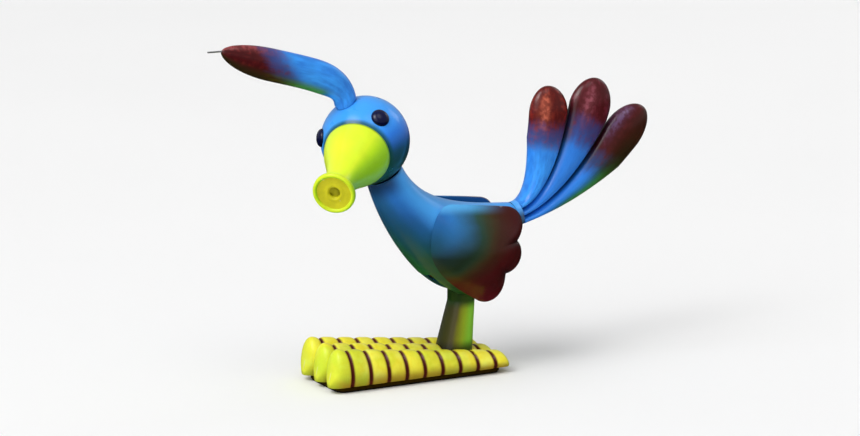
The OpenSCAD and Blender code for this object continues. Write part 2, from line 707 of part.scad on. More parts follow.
// The lower bush carries the curved stop that the pin in the rod runs up against
module head_bush_lower() {
    pin_room = asin(stop_pin_d / 2 / stop_r) + 0.5;
    start = look_right + pin_room;
    span = 360 - look_left - look_right - 2 * pin_room;
    color("white") head_place() {
        rotate([180, 0, 0]) head_bush();
        translate([0, 0, -17.6]) rotate([0, 0, 90 + start]) rotate_extrude(angle = span, $fn = fine)
            translate([stop_r, 0]) square([bush_od / 2 - stop_r, 4]);
    }
}
module head_bush_upper() { color("white") head_place() head_bush(); }

bill_root_z = 14.6;
bill_waist_z = bill_reach - 9;
bill_cone = [[bill_base_d / 2, bill_root_z], [bill_base_d / 2 - 1, 25],
    [bill_waist_d / 2 + 1, 34], [bill_waist_d / 2, bill_waist_z]];
bill_flare = [[bill_waist_d / 2, bill_waist_z], [bill_waist_d / 2, bill_reach - 5],
    [bill_bell_d / 2 - 2, bill_reach - 4.5], [bill_bell_d / 2, bill_reach - 1.5]];
bill_wall = 1.4;
spigot_back = 12.5;
back_wall_z = 20.5;
felt_r = bill_bell_d / 2 - 1.8;
felt_back = bill_reach - 2.6;

// The bill is a hollow trumpet with a back wall that sits on the head, and a spigot that
// plugs into the head's opening
module bill() {
    outer = concat([for (i = [0:10]) bezier(bill_cone, i / 10)],
        [for (i = [1:8]) bezier(bill_flare, i / 8)]);
    inner = [for (i = [10:-1:3]) bezier(bill_cone, i / 10) - [bill_wall, 0]];
    mouth = [[bill_bell_d / 2 - 0.4, bill_reach], [felt_r + 0.3, bill_reach], [felt_r, felt_back],
        [bill_hole_d / 2, felt_back], [bill_hole_d / 2, bill_waist_z + 1]];
    spigot = [[spigot_r - bill_wall, back_wall_z], [spigot_r - bill_wall, spigot_back],
        [spigot_r - 0.05, spigot_back], [spigot_r - 0.05, bill_root_z]];
    color("yellow") bill_place() difference() {
        rotate_extrude($fn = 64) polygon(concat(outer, mouth, inner, spigot));
        difference() {
            sphere(d = head_d, $fn = 96);
            cylinder(r = spigot_r - 0.04, h = 60, $fn = fine);
        }
    }
}
module bill_felt() {
    color("goldenrod") bill_place() rotate_extrude($fn = 64)
        polygon([[bill_hole_d / 2 + 0.2, felt_back], [felt_r, felt_back],
            [felt_r + 0.1, bill_reach - 0.8], [bill_hole_d / 2 + 1.2, bill_reach - 1.6],
            [bill_hole_d / 2 + 0.2, bill_reach - 1.2]]);
}
module eye(side) {
    r = head_d / 2;
    low = sqrt(r * r - eye_d * eye_d / 4);
    rise = r + eye_rise - low;
    color("midnightblue") eye_place(side) difference() {
        union() {
            rotate_extrude($fn = fine) polygon(concat([[0, low]],
                [for (a = [0:9:90]) [eye_d / 2 * cos(a), low + rise * sin(a)]]));
            translate([0, 0, r - 4]) cylinder(d = 3.96, h = 4, $fn = fine);
        }
        difference() {
            sphere(d = head_d, $fn = 96);
            cylinder(d = 3.96, h = 60, $fn = fine);
        }
    }
}
module eye_left() { eye(1); }
module eye_right() { eye(-1); }

toe_left();
toe_middle();
toe_right();
base_plate();
base_screws();
non_slip_pad();
leg_post();
leg_sleeve();
leg_bolt();
pivot_axle();
axle_washers();
axle_clips();
body_shell_left();
body_shell_right();
shell_screws();
pivot_frame();
pivot_bush_left();
pivot_bush_right();
counterweight();
weight_screws();
wing_left();
wing_right();
wing_pegs();
tail_socket();
tail_screw();
tail_plume_front();
tail_plume_middle();
tail_plume_rear();
neck_rod();
neck_grub_screw();
neck_seat();
neck_stop_pin();
crest_plume();
crest_tip_wire();
head_shell();
head_bush_lower();
head_bush_upper();
bill();
bill_felt();
eye_left();
eye_right();
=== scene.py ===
"""Looks of the drinking bird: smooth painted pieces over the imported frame, lit like a product photo.

Lengths in this script are in millimetres, as in the CAD model, and become metres where a mesh is made.
The bird faces -Y, its left side is +X, and the origin is on the table below the rocking axle.
"""
import json
import math

import bmesh
import bpy
from mathutils import Matrix, Vector


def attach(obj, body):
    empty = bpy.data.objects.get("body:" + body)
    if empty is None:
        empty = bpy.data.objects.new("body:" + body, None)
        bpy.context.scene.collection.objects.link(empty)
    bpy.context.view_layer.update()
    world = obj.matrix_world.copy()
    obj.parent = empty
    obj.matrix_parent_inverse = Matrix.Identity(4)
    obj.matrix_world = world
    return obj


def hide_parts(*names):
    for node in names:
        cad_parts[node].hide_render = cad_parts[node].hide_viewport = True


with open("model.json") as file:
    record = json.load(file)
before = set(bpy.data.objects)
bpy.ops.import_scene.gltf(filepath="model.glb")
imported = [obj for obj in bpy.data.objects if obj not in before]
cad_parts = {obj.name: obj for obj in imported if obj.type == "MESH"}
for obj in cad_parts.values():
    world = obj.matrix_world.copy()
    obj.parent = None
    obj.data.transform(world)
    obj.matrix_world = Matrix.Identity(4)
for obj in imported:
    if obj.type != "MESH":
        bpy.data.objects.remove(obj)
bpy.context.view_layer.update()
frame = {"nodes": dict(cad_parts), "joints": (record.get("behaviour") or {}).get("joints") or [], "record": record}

MM = 0.001
HINGES = {joint["name"]: joint for joint in frame["joints"]}


# ---- Sizes that the CAD model also uses ----
PIVOT = Vector(HINGES["dip"]["pos_m"]) / MM
HEAD_MID = Vector(HINGES["head_turn"]["pos_m"]) / MM
NECK_WAY = Vector(HINGES["head_turn"]["axis"]).normalized()
NECK_LEAN = math.atan2(-NECK_WAY.y, NECK_WAY.z)
NECK_ACROSS = Vector((0, math.cos(NECK_LEAN), math.sin(NECK_LEAN)))
HEAD_LOOK = math.radians(45)
HEAD_R = 22
BILL_PITCH = math.radians(4.5)
BILL_REACH = 58
BILL_BASE_R = 16.5
BILL_WAIST_R = 7
BILL_BELL_R = 10.5
BILL_HOLE_R = 2.5
BILL_FELT_R = BILL_BELL_R - 1.8
BILL_DISH = BILL_REACH - 2.6
EYE_WAY = Vector((0.764, -0.336, 0.55)).normalized()
EYE_R = 4.6
EYE_RISE = 2.2
BODY_W = 45
SHELL_WALL = 1.4
# Gap between the halves of the body, and how much their edges are rounded there
SEAM = 0.06
NECK_RING = HEAD_MID - 21 * NECK_WAY
NECK_RING_R = 9.7
TAIL_RING = Vector((0, 30.5, 76.7))
TAIL_RING_R = 6.5
TAIL_RISE = math.radians(14)
TAIL_WAY = Vector((0, math.cos(TAIL_RISE), math.sin(TAIL_RISE)))
TAIL_UP = Vector((0, -math.sin(TAIL_RISE), math.cos(TAIL_RISE)))
TOP_LINE = [NECK_RING + NECK_RING_R * NECK_ACROSS, Vector((0, -25, 88)), Vector((0, 3, 84)),
            TAIL_RING + TAIL_RING_R * TAIL_UP]
KEEL_LINE = [NECK_RING - NECK_RING_R * NECK_ACROSS, Vector((0, -36, 56.5)), Vector((0, 12, 1)),
             TAIL_RING - TAIL_RING_R * TAIL_UP]
HALF_WIDTHS = [9.9, 0.44 * BODY_W, 0.8 * BODY_W, 7]
DIP_FORWARD = math.radians(30)
DIP_BACK = math.radians(10)
LEG_ROOM = 16.4
PLUME_W = 20.5
PLUME_T = 12
ROOT = TAIL_RING + 3.1 * TAIL_WAY
ROOT_GAP = 4 * TAIL_UP
TAIL_SPINES = [
    [ROOT + ROOT_GAP, ROOT + ROOT_GAP + 10 * TAIL_WAY, Vector((0, 51, 105)), Vector((0, 50, 141))],
    [ROOT, ROOT + 17 * TAIL_WAY, Vector((0, 71, 105)), Vector((0, 79, 143))],
    [ROOT - ROOT_GAP, ROOT - ROOT_GAP + 20 * TAIL_WAY, Vector((0, 79, 92)), Vector((0, 107.5, 126))]]
INNER_SWELL = 1.16
# How much narrower a plume is on its free side than in the CAD model
PLUME_SHY = 0.4
PLUME_ROUND_FROM = 0.86
# Share of the gap between two spines that a plume fills
PLUME_SHARES = (0.475, 0.492)
CREST_SPINE = [HEAD_MID + 21.3 * NECK_WAY, Vector((0, -64, 157)), Vector((0, -92, 157)),
               Vector((0, -129.5, 170.8))]
CREST_ROOT_D = 11
CREST_W = 16
CREST_T = 10
CREST_ROUND_FROM = 0.74
CREST_GAP = 0.35
WING_FRONT = [Vector(p) for p in ((-13, 75, 13), (-13.5, 66, 15.5), (-4, 58, 14), (7.5, 46.5, 10))]
WING_UPPER = [Vector(p) for p in ((-13, 75, 13), (-5, 75.3, 11.9), (8, 75, 10.8), (18, 74.6, 9.8))]
FEATHER_TIP = Vector((18.5, 59.5, 9))
# Valleys between the feathers, each from its outer to its inner end
FEATHER_VALLEYS = [((25.5, 67), (3, 67.5)), ((18.5, 50), (1, 58))]
WING_MID = (0, 66)
WING_T = 4.5
WING_GAP = 0.3
WING_LEAST = 13
WING_EASE = 14
TOE_PITCH = 14.6
TOE_REACH = 81
TOE_HEEL = 19
TOE_FRONT_H = 19.5
TOE_REAR_H = 7.5
TOE_RIBS = 10
PLATE_TOP = 3
SLEEVE_TOP = 43.5
SLEEVE_BEND = 36
SLEEVE_Y = 0.7
SLEEVE_R = 6.9
SLEEVE_FOOT_R = 10
SLEEVE_LEN = 31
SLEEVE_FOOT = 7
SLEEVE_TILT = math.radians(9.5)


# ---- Curves ----
def mix(a, b, t):
    return a + (b - a) * t


def smoothstep(low, high, value):
    t = min(1, max(0, (value - low) / (high - low)))
    return t * t * (3 - 2 * t)


def bezier(p, t):
    s = 1 - t
    return s ** 3 * p[0] + 3 * s * s * t * p[1] + 3 * s * t * t * p[2] + t ** 3 * p[3]


def heading(p, t):
    return (bezier(p, t + 0.005) - bezier(p, t - 0.005)).normalized()


# ---- Meshes ----
def mesh_object(name, points, faces, values=None, sharp_angle=60):
    """Object from points in millimetres; values holds one number per point for each named attribute."""
    mesh = bpy.data.meshes.new(name)
    mesh.from_pydata([Vector(p) * MM for p in points], [], faces)
    for key, numbers in (values or {}).items():
        mesh.attributes.new(key, "FLOAT", "POINT").data.foreach_set("value", numbers)
    work = bmesh.new()
    work.from_mesh(mesh)
    bmesh.ops.recalc_face_normals(work, faces=work.faces)
    work.to_mesh(mesh)
    work.free()
    mesh.shade_smooth()
    mesh.set_sharp_from_angle(angle=math.radians(sharp_angle))
    piece = bpy.data.objects.new(name, mesh)
    bpy.context.scene.collection.objects.link(piece)
    return piece


def walls(steps, n):
    """Faces between successive rings of n points."""
    return [(i * n + j, i * n + (j + 1) % n, (i + 1) * n + (j + 1) % n, (i + 1) * n + j)
            for i in range(steps) for j in range(n)]


def loft(name, rings, values=None, sharp_angle=60):
    """Closed solid through a list of rings of points, with a fan of triangles over each end."""
    n = len(rings[0])
    points = [p for ring in rings for p in ring]
    faces = walls(len(rings) - 1, n)
    for first in (0, (len(rings) - 1) * n):
        middle = sum((Vector(points[first + j]) for j in range(n)), Vector()) / n
        faces += [(first + j, first + (j + 1) % n, len(points)) for j in range(n)]
        points.append(middle)
        for numbers in (values or {}).values():
            numbers.append(numbers[first])
    return mesh_object(name, points, faces, values, sharp_angle)


def lathe(name, profile, place, sides=160, sharp_angle=40):
    """Solid of revolution: profile is a list of (radius, height), place puts its axis, +Z, in the frame."""
    rings = [[place @ Vector((r * math.cos(a), r * math.sin(a), z)) for a in turns(sides)]
             for r, z in profile]
    return loft(name, rings, {"along": [z for r, z in profile for _ in range(sides)]}, sharp_angle)


def turns(n):
    return [2 * math.pi * j / n for j in range(n)]


def finish_piece(piece, body, slot, material, *nodes):
    piece.data.materials.append(material)
    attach(piece, body)
    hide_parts(*nodes)
    return piece


# ---- Places ----
def turned(angle, axis):
    return Matrix.Rotation(angle, 4, axis)


NECK_PLACE = Matrix.Translation(HEAD_MID) @ turned(NECK_LEAN, "X")
HEAD_PLACE = NECK_PLACE @ turned(HEAD_LOOK, "Z")
BILL_PLACE = HEAD_PLACE @ turned(math.pi / 2 - BILL_PITCH, "X")
BILL_WAY = (BILL_PLACE.to_3x3() @ Vector((0, 0, 1))).normalized()


def eye_place(side):
    around = math.atan2(EYE_WAY.y, side * EYE_WAY.x)
    return HEAD_PLACE @ turned(around, "Z") @ turned(math.acos(EYE_WAY.z), "Y")


# ---- Materials ----
# Lower than a plain gloss paint's 0.5, so that the pale studio doesn't veil the deep colours
SPECULAR = 0.22
# Paint scuffs and brushed lines are drawn out along one axis
LONG_Y = (1, 0.2, 1)
LONG_X = (0.15, 1, 1)


def colour(code):
    """Linear colour from six hexadecimal digits."""
    parts = [int(code[i:i + 2], 16) / 255 for i in (0, 2, 4)]
    return [p / 12.92 if p <= 0.04045 else ((p + 0.055) / 1.055) ** 2.4 for p in parts] + [1]


class Look:
    """A material and short ways to add the nodes that the finishes share."""

    def __init__(self, name, roughness, metallic=0.0, coat=0.0, coat_roughness=0.08):
        self.material = bpy.data.materials.new(name)
        self.material.use_nodes = True
        self.tree = self.material.node_tree
        self.shader = self.tree.nodes["Principled BSDF"]
        self.shader.inputs["Roughness"].default_value = roughness
        self.shader.inputs["Metallic"].default_value = metallic
        self.shader.inputs["Coat Weight"].default_value = coat
        self.shader.inputs["Coat Roughness"].default_value = coat_roughness
        self.shader.inputs["Specular IOR Level"].default_value = SPECULAR

    def node(self, kind, **inputs):
        made = self.tree.nodes.new(kind)
        for key, value in inputs.items():
            self.feed(made.inputs[key.replace("_", " ")], value)
        return made

    def feed(self, socket, value):
        if isinstance(value, bpy.types.NodeSocket):
            self.tree.links.new(value, socket)
        else:
            socket.default_value = value

    def math(self, operation, first, second=0.0):
        made = self.tree.nodes.new("ShaderNodeMath")
        made.operation = operation
        self.feed(made.inputs[0], first)
        self.feed(made.inputs[1], second)
        return made.outputs[0]

    def scaled(self, value, scale, offset):
        """value * scale + offset"""
        made = self.math("MULTIPLY_ADD", value, scale)
        made.node.inputs[2].default_value = offset
        return made

    def span(self, value, low, high, kind="LINEAR"):
        """0 where the value is low, 1 where it is high, and in a straight line between."""
        made = self.tree.nodes.new("ShaderNodeMapRange")
        made.interpolation_type = kind
        self.feed(made.inputs["Value"], value)
        made.inputs["From Min"].default_value = low
        made.inputs["From Max"].default_value = high
        return made.outputs["Result"]

    def step(self, value, low, high):
        """The same with soft ends."""
        return self.span(value, low, high, "SMOOTHSTEP")

    def attribute(self, name):
        made = self.tree.nodes.new("ShaderNodeAttribute")
        made.attribute_name = name
        return made.outputs["Fac"]

    def place(self):
        """Position in the object's own space, in metres."""
        return self.node("ShaderNodeTexCoord").outputs["Object"]

    def along(self, way, vector):
        """Part of a vector along a direction."""
        made = self.tree.nodes.new("ShaderNodeVectorMath")
        made.operation = "DOT_PRODUCT"
        self.feed(made.inputs[0], vector)
        made.inputs[1].default_value = Vector(way)
        return made.outputs["Value"]

    def facing(self, way):
        """How far the surface faces a direction of the object's own space, from -1 to 1."""
        return self.along(Vector(way).normalized(), self.node("ShaderNodeTexCoord").outputs["Normal"])

    def noise(self, scale, detail=3.0, stretch=None):
        vector = self.place()
        if stretch:
            mapping = self.node("ShaderNodeMapping", Vector=vector)
            mapping.inputs["Scale"].default_value = stretch
            vector = mapping.outputs["Vector"]
        made = self.node("ShaderNodeTexNoise", Vector=vector, Scale=scale, Detail=detail)
        return made.outputs["Fac"]

    def ramp(self, value, *stops):
        """Colour band through (position, colour code) stops."""
        made = self.node("ShaderNodeValToRGB", Fac=value)
        made.color_ramp.interpolation = "LINEAR"
        for _ in range(len(stops) - 2):
            made.color_ramp.elements.new(0.5)
        for element, (at, code) in zip(made.color_ramp.elements, stops):
            element.position = at
            element.color = colour(code)
        return made.outputs["Color"]

    def blend(self, factor, first, second, kind="MIX"):
        made = self.tree.nodes.new("ShaderNodeMix")
        made.data_type = "RGBA"
        made.blend_type = kind
        self.feed(made.inputs["Factor"], factor)
        self.feed(made.inputs["A"], colour(first) if isinstance(first, str) else first)
        self.feed(made.inputs["B"], colour(second) if isinstance(second, str) else second)
        return made.outputs["Result"]

    def over(self, base, mask, share, tint):
        """Lays a tint over the base: as much as share where the mask is 1, none where it is 0."""
        return self.blend(self.math("MULTIPLY", mask, share), base, tint)

    def bump(self, height, distance, strength=1.0, before=None):
        made = self.node("ShaderNodeBump", Height=height, Distance=distance, Strength=strength)
        if before:
            self.feed(made.inputs["Normal"], before)
        return made.outputs["Normal"]

    def finish(self, base, normal=None, roughness=None):
        self.feed(self.shader.inputs["Base Color"], base)
        if normal:
            self.feed(self.shader.inputs["Normal"], normal)
        if roughness:
            self.feed(self.shader.inputs["Roughness"], roughness)
        return self.material


def airbrushed(look, base, wear=0.25, relief=None):
    """Finish of every painted piece: paint mist, orange peel, fine scuffs and slightly rubbed edges.

    wear says how far the paint has rubbed off along the edges, as a number or another node's value.
    relief is a bump of the piece's own, in place of the orange peel.
    """
    mist_share = look.math("MULTIPLY", look.noise(1400, 2), 0.16)
    mist = look.blend(mist_share, base, "FFFFFF", "OVERLAY")
    cloud = look.blend(look.step(look.noise(55, 4), 0.3, 0.75), mist, look.blend(0.14, mist, "101018"))
    edge = look.step(look.node("ShaderNodeNewGeometry").outputs["Pointiness"], 0.54, 0.62)
    rubbed = look.over(cloud, edge, wear, "E8ECF0")
    if relief is None:
        relief = look.bump(look.noise(900, 2), 0.00012, 0.35)
    scuff = look.bump(look.noise(2600, 3, LONG_Y), 0.00004, 0.3, relief)
    dull = look.scaled(look.noise(160, 5), 0.16, look.shader.inputs["Roughness"].default_value - 0.08)
    return look.finish(rubbed, scuff, dull)


def flank_colour(look, height):
    """Body's side by its height: dark green at the keel, teal, then blue; the darkening towards the keel is partly
    painted shade.
    """
    return look.ramp(look.span(height, 0.048, 0.104), (0.0, "1C4A12"), (0.14, "1A4C1E"),
                     (0.25, "164830"), (0.37, "124A56"), (0.5, "12527E"), (0.65, "1A60A8"),
                     (0.82, "2478D2"), (1.0, "2A86EC"))


def body_paint():
    """Azure above and lighter where it faces up as painted light, through blue and teal down the flanks to dark
    green at the keel, with painted shade on the breast and a painted shadow at the throat under the head.
    """
    look = Look("body_blue", 0.32, coat=0.25)
    wobble = look.scaled(look.noise(45, 3), 0.010, -0.005)
    height = look.math("ADD", look.along((0, 0, 1), look.place()), wobble)
    # Lighter azure where the surface faces up: painted light from above.
    up = look.step(look.facing((0, 0.1, 1)), -0.12, 0.65)
    base = look.blend(up, flank_colour(look, height), "48A8FF")
    # Darker teal where the breast faces forward and down: painted shade.
    front = look.step(look.facing((0, -1, -0.45)), 0.55, 1.0)
    base = look.over(base, front, 0.55, "0E4A4E")
    # Dark navy on the throat just under the head: painted shadow.
    throat = look.math("MULTIPLY", look.step(look.along(NECK_WAY, look.place()), 0.100, 0.110),
                       look.step(look.facing((0.3, -1, -0.3)), -0.2, 0.7))
    base = look.over(base, throat, 0.8, "061C38")
    fringe = look.step(look.facing((0, -0.75, -1)), 0.90, 1.0)
    base = look.over(base, fringe, 0.6, "2E7A20")
    return airbrushed(look, base, wear=0.07)


def head_paint():
    """Azure above, blue and then dark green below, darker downwards partly as painted shade, with a dark green
    ring of painted shade where the bill meets the head.
    """
    look = Look("head_paint", 0.3, coat=0.35)
    # Darker towards the underside: partly painted shade.
    down = look.facing((0.25, 0.35, -1))
    base = look.ramp(look.step(down, -1.0, 1.0), (0.0, "3EA0FF"), (0.35, "3696FF"), (0.52, "2478E4"),
                     (0.66, "1C62B8"), (0.8, "144C6A"), (1.0, "0C401E"))
    # Dark green ring round the bill's root: painted shade where the bill meets the head.
    ahead = look.math("SUBTRACT", look.along(BILL_WAY, look.place()), HEAD_MID.dot(BILL_WAY) * MM)
    ring = look.step(ahead, 0.0122, 0.0142)
    base = look.over(base, ring, 0.85, "0A4A3C")
    return airbrushed(look, base)


def bill_paint():
    """Lemon yellow above, darker lime below partly as painted shade, dark green of painted shade at its root where
    it meets the head, and ochre round its lip.
    """
    look = Look("bill_paint", 0.34, coat=0.25)
    # Darker lime towards the underside: partly painted shade.
    down = look.facing((0.25, 0.75, -0.75))
    base = look.ramp(look.step(down, -1.0, 1.0), (0.0, "E4FF30"), (0.4, "DEFA26"), (0.58, "BAEC14"),
                     (0.75, "9CD80E"), (1.0, "80BC0E"))
    # Dark green at the root, where the bill meets the head: painted shade.
    root = look.step(look.attribute("along"), 16.6, 14.8)
    base = look.over(base, root, 0.75, "1E6A18")
    end = look.step(look.attribute("along"), BILL_REACH - 2.2, BILL_REACH - 0.9)
    base = look.over(base, end, 0.35, "A8B80C")
    return airbrushed(look, base)


def dish_paint():
    """Ochre of the felt ring in the dished end of the bill."""
    look = Look("dish_paint", 0.5, coat=0.2)
    base = look.ramp(look.noise(240, 4), (0.25, "B8B408"), (0.75, "CFC616"))
    return airbrushed(look, base)


def eye_gloss():
    """Glossy navy, nearly black, with a bluer top that is painted light."""
    look = Look("eye_gloss", 0.22, coat=0.2, coat_roughness=0.1)
    # Bluer where the eye faces up: painted light.
    top = look.step(look.facing((0, -0.3, 1)), -0.2, 1.0)
    base = look.blend(look.math("MULTIPLY", top, 0.6), "02052A", "050C40")
    speck = look.blend(look.math("MULTIPLY", look.noise(700, 4), 0.03), base, "203060")
    return look.finish(speck, look.bump(look.noise(1500, 2), 0.00002, 0.3))


def wing_paint():
    """Light blue at the front, through teal and olive brown to maroon at the feather tips, with a painted
    highlight along the top edge, painted shade in the valleys between the feathers, and darker low on the blue
    front, partly painted shade.

    back is how far behind a curved line down the wing a point lies, in metres.
    """
    look = Look("wing_paint", 0.36, coat=0.15)
    swirl = look.scaled(look.noise(70, 4), 0.008, -0.004)
    height = look.along((0, 0, 1), look.place())
    depth = look.math("SUBTRACT", 0.078, height)
    curve = look.math("MULTIPLY", look.math("MULTIPLY", depth, depth), 22.0)
    curve = look.math("ADD", look.math("MULTIPLY", depth, 0.22), curve)
    back = look.math("ADD", look.along((0, 1, 0), look.place()), look.math("ADD", curve, swirl))
    back = look.math("SUBTRACT", back, 0.006)
    base = look.ramp(look.span(back, -0.028, 0.016), (0.0, "318AE4"), (0.2, "2B76B8"), (0.31, "2A6A9A"),
                     (0.41, "285A7A"), (0.51, "24483E"), (0.61, "323820"), (0.70, "3A2A10"),
                     (0.80, "3C1A08"), (1.0, "460606"))
    # Darker towards the bottom of the blue front: partly painted shade.
    blue = look.step(back, 0.004, -0.008)
    low = look.math("MULTIPLY", look.span(height, 0.0825, 0.062), blue)
    base = look.over(base, low, 0.95, "18280E")
    lead = look.step(back, -0.017, -0.029)
    base = look.over(base, lead, 0.85, flank_colour(look, height))
    # Dark in the valleys between the feathers: painted shade.
    base = look.over(base, look.attribute("valley"), 0.7, "140202")
    rim = look.math("MULTIPLY", look.step(look.attribute("rim"), 0.90, 1.0),
                    look.step(height, 0.084, 0.078))
    base = look.over(base, rim, 0.6, "140402")
    tip = look.step(look.along((0, 0.3, 1), look.place()), 0.050, 0.040)
    base = look.over(base, tip, 0.6, "5A0416")
    # Bright azure along the front of the top edge: painted highlight.
    ridge = look.step(look.along((0, 0.08, 1), look.place()), 0.0815, 0.0868)
    front = look.step(look.along((0, 1, 0), look.place()), 0.020, -0.014)
    base = look.blend(look.math("MULTIPLY", ridge, front), base, "5CB8FF")
    base = look.over(base, look.attribute("inner"), 0.9, "1E5C92")
    wear = look.math("MULTIPLY", look.step(look.attribute("rim"), 0.9, 1.0), 0.2)
    return airbrushed(look, base, wear)


def plume_paint(name, tip_from, tip, mottling, gleam, turn="30285C", root="389CFF", skew=0.0):
    """Blue root, mottled tip with a painted highlight (the gleam), green underside and painted shade in the
    valleys between plumes.

    tip_from is where along the plume the tip's colour starts and skew how much earlier it starts at the
    front than at the rear. turn is the colour between root and tip.
    """
    look = Look(name, 0.34, coat=0.3)
    along = look.attribute("along")
    across = look.attribute("side")
    wobble = look.scaled(look.noise(60, 4), 0.12, -0.06)
    slant = look.math("MULTIPLY", look.math("SUBTRACT", 0.5, across), skew)
    at = look.math("ADD", along, look.math("ADD", wobble, slant))
    strokes = look.node("ShaderNodeCombineXYZ", X=look.math("MULTIPLY", across, 7.0),
                        Y=look.math("MULTIPLY", along, 7.0), Z=look.attribute("flank"))
    stroke = look.node("ShaderNodeTexNoise", Vector=strokes.outputs["Vector"], Scale=1.0, Detail=3.0)
    stroke = stroke.outputs["Fac"]
    blue = look.blend(look.step(stroke, 0.25, 0.75), "2878DC", root)
    ragged = look.math("ADD", at, look.math("MULTIPLY", stroke, 0.10))
    fade = look.step(ragged, tip_from - 0.07, tip_from + 0.15)
    base = look.blend(fade, blue, tip)
    middle = look.math("MULTIPLY", look.math("SUBTRACT", 1.0, fade), fade)
    base = look.over(base, middle, 2.4, turn)
    mottle = look.step(look.noise(420, 4), 0.38, 0.66)
    patches = look.math("MULTIPLY", look.math("MULTIPLY", look.step(stroke, 0.35, 0.65), mottle), fade)
    base = look.over(base, patches, 0.75, mottling)
    # Painted highlight on the tip, broken up by the mottle.
    patchy = look.scaled(mottle, 0.6, 0.3)
    lit = look.math("MULTIPLY", look.math("MULTIPLY", look.attribute("gleam_share"), patchy), fade)
    base = look.blend(lit, base, gleam)
    green = look.ramp(look.attribute("under"), (0.0, "2474C4"), (0.35, "1E6088"), (0.6, "1C5A40"),
                      (0.8, "266A22"), (1.0, "347E1C"))
    green = look.blend(fade, green, "2A2006")
    base = look.over(base, look.attribute("under"), 0.95, green)
    # Dark between the plumes where they press together: painted shade.
    edge = look.math("MULTIPLY", look.attribute("valley"), 0.85)
    base = look.blend(edge, base, look.blend(fade, "06304E", "180103"))
    return airbrushed(look, base, wear=0.0, relief=look.bump(stroke, 0.0006, 0.2))


def toe_paint():
    """Lemon yellow with patches of green, darker ochre lower flanks that are painted shade, ochre shoulders before
    the grooves, painted shade in the gaps between the toes, and brown airbrushed ring grooves.
    """
    look = Look("toe_paint", 0.4, coat=0.15)
    # Darker ochre on the lower flanks: painted shade.
    low = look.step(look.attribute("low"), 0.0, 1.0)
    patch = look.noise(90, 4)
    yellow = look.ramp(patch, (0.3, "FFFA48"), (0.5, "F6E634"), (0.75, "FFFF66"))
    base = look.blend(look.math("MULTIPLY", low, 0.85), yellow, "94740A")
    green = look.step(look.noise(38, 3), 0.52, 0.68)
    base = look.over(base, green, 0.35, "8CD020")
    end = look.attribute("end")
    base = look.over(base, end, 0.45, "A6D028")
    ochre = look.math("MULTIPLY", look.attribute("shoulder"), 0.55)
    base = look.blend(ochre, base, "B47A0A")
    # Dark brown on the sides facing the next toe: painted shade in the gaps between toes.
    base = look.over(base, look.attribute("seam"), 0.75, "5A2404")
    groove = look.math("MULTIPLY", look.attribute("groove"), look.step(look.noise(120, 3), 0.12, 0.45))
    base = look.blend(look.step(groove, 0.05, 0.75), base, "500C02")
    streaks = look.bump(look.noise(420, 3, (1, 3.5, 1)), 0.0003, 0.3)
    return airbrushed(look, base, relief=streaks)


def leg_paint():
    """Dark olive brown at the front, yellow-green and lime behind, with painted shadow near its top under the body
    and where it stands on the toes.
    """
    look = Look("leg_paint", 0.38, coat=0.2)
    back = look.facing((0.35, 1, 0))
    wobble = look.scaled(look.noise(120, 4, (1, 1, 0.25)), 0.4, -0.2)
    at = look.step(look.math("ADD", back, wobble), -1.0, 1.0)
    base = look.ramp(at, (0.0, "2C3004"), (0.3, "4A4206"), (0.5, "787C0A"), (0.7, "8CA412"),
                     (0.92, "86CC30"))
    # Dark green near the top, under the body: painted shadow.
    top = look.step(look.along((0, 0, 1), look.place()), 0.0315, 0.0365)
    base = look.over(base, top, 0.9, "163A04")
    # Near black where the leg stands on the toes: painted contact shadow.
    foot = look.step(look.along((0, 0, 1), look.place()), 0.0175, 0.012)
    base = look.over(base, foot, 0.85, "141602")
    return airbrushed(look, base)


def brushed_metal(name, light, dark, roughness):
    look = Look(name, roughness, metallic=1.0)
    lines = look.noise(900, 4, LONG_X)
    base = look.blend(lines, dark, light)
    stain = look.step(look.noise(130, 4), 0.62, 0.8)
    base = look.over(base, stain, 0.35, "2A2622")
    patchy = look.scaled(look.noise(300, 4), 0.25, roughness - 0.12)
    return look.finish(base, look.bump(lines, 0.00005, 0.4), patchy)


def moulded_plastic(name, light, dark, roughness):
    look = Look(name, roughness)
    base = look.blend(look.noise(180, 5), light, dark)
    grain = look.bump(look.noise(3200, 3), 0.00006, 0.5)
    return look.finish(base, grain)


def ribbed_rubber():
    look = Look("ribbed_rubber", 0.8)
    ribs = look.math("SINE", look.along((3800, 0, 0), look.place()))
    dust = look.blend(look.step(look.noise(260, 5), 0.45, 0.8), "1C1408", "342A18")
    grain = look.bump(look.noise(2400, 3), 0.00005, 0.6)
    return look.finish(dust, look.bump(ribs, 0.0002, 0.5, grain))


MATERIALS = {
    "steel": brushed_metal("steel", "C9CBCE", "8E9094", 0.3),
    "zinc_plate": brushed_metal("zinc_plate", "7A5C18", "4E380C", 0.5),
    "aluminium_tube": brushed_metal("aluminium_tube", "D6D8DA", "A8ABAE", 0.32),
    "brass": brushed_metal("brass", "D8B25A", "A37A2C", 0.34),
    "nylon": moulded_plastic("nylon", "1C56A6", "174A92", 0.5),
    # The neck seat is near black so that it reads as the shadow gap between head and body: painted shade.
    "dark_seat": moulded_plastic("dark_seat", "050A16", "02050C", 0.55),
    "rubber_pad": ribbed_rubber(),
    "body_blue": body_paint(),
}
SLOT_OF = {entry["node"]: entry["material_slot"] for entry in frame["record"]["subparts"]}


def dress_frame():
    """Gives each CAD node the finish of its slot, where this script makes one."""
    for name, node in frame["nodes"].items():
        material = MATERIALS.get(SLOT_OF[name])
        if material:
            node.data.materials.clear()
            node.data.materials.append(material)


# ---- Foot and leg ----
def toe_profile(t):
    """Rounding of a toe's ends, 1 along its middle."""
    front = min(1, t / 0.065)
    rear = min(1, (1 - t) / 0.05)
    return max(0.04, 1 - (1 - front) ** 2.4) ** 0.42 * max(0.05, 1 - (1 - rear) ** 2.2) ** 0.5


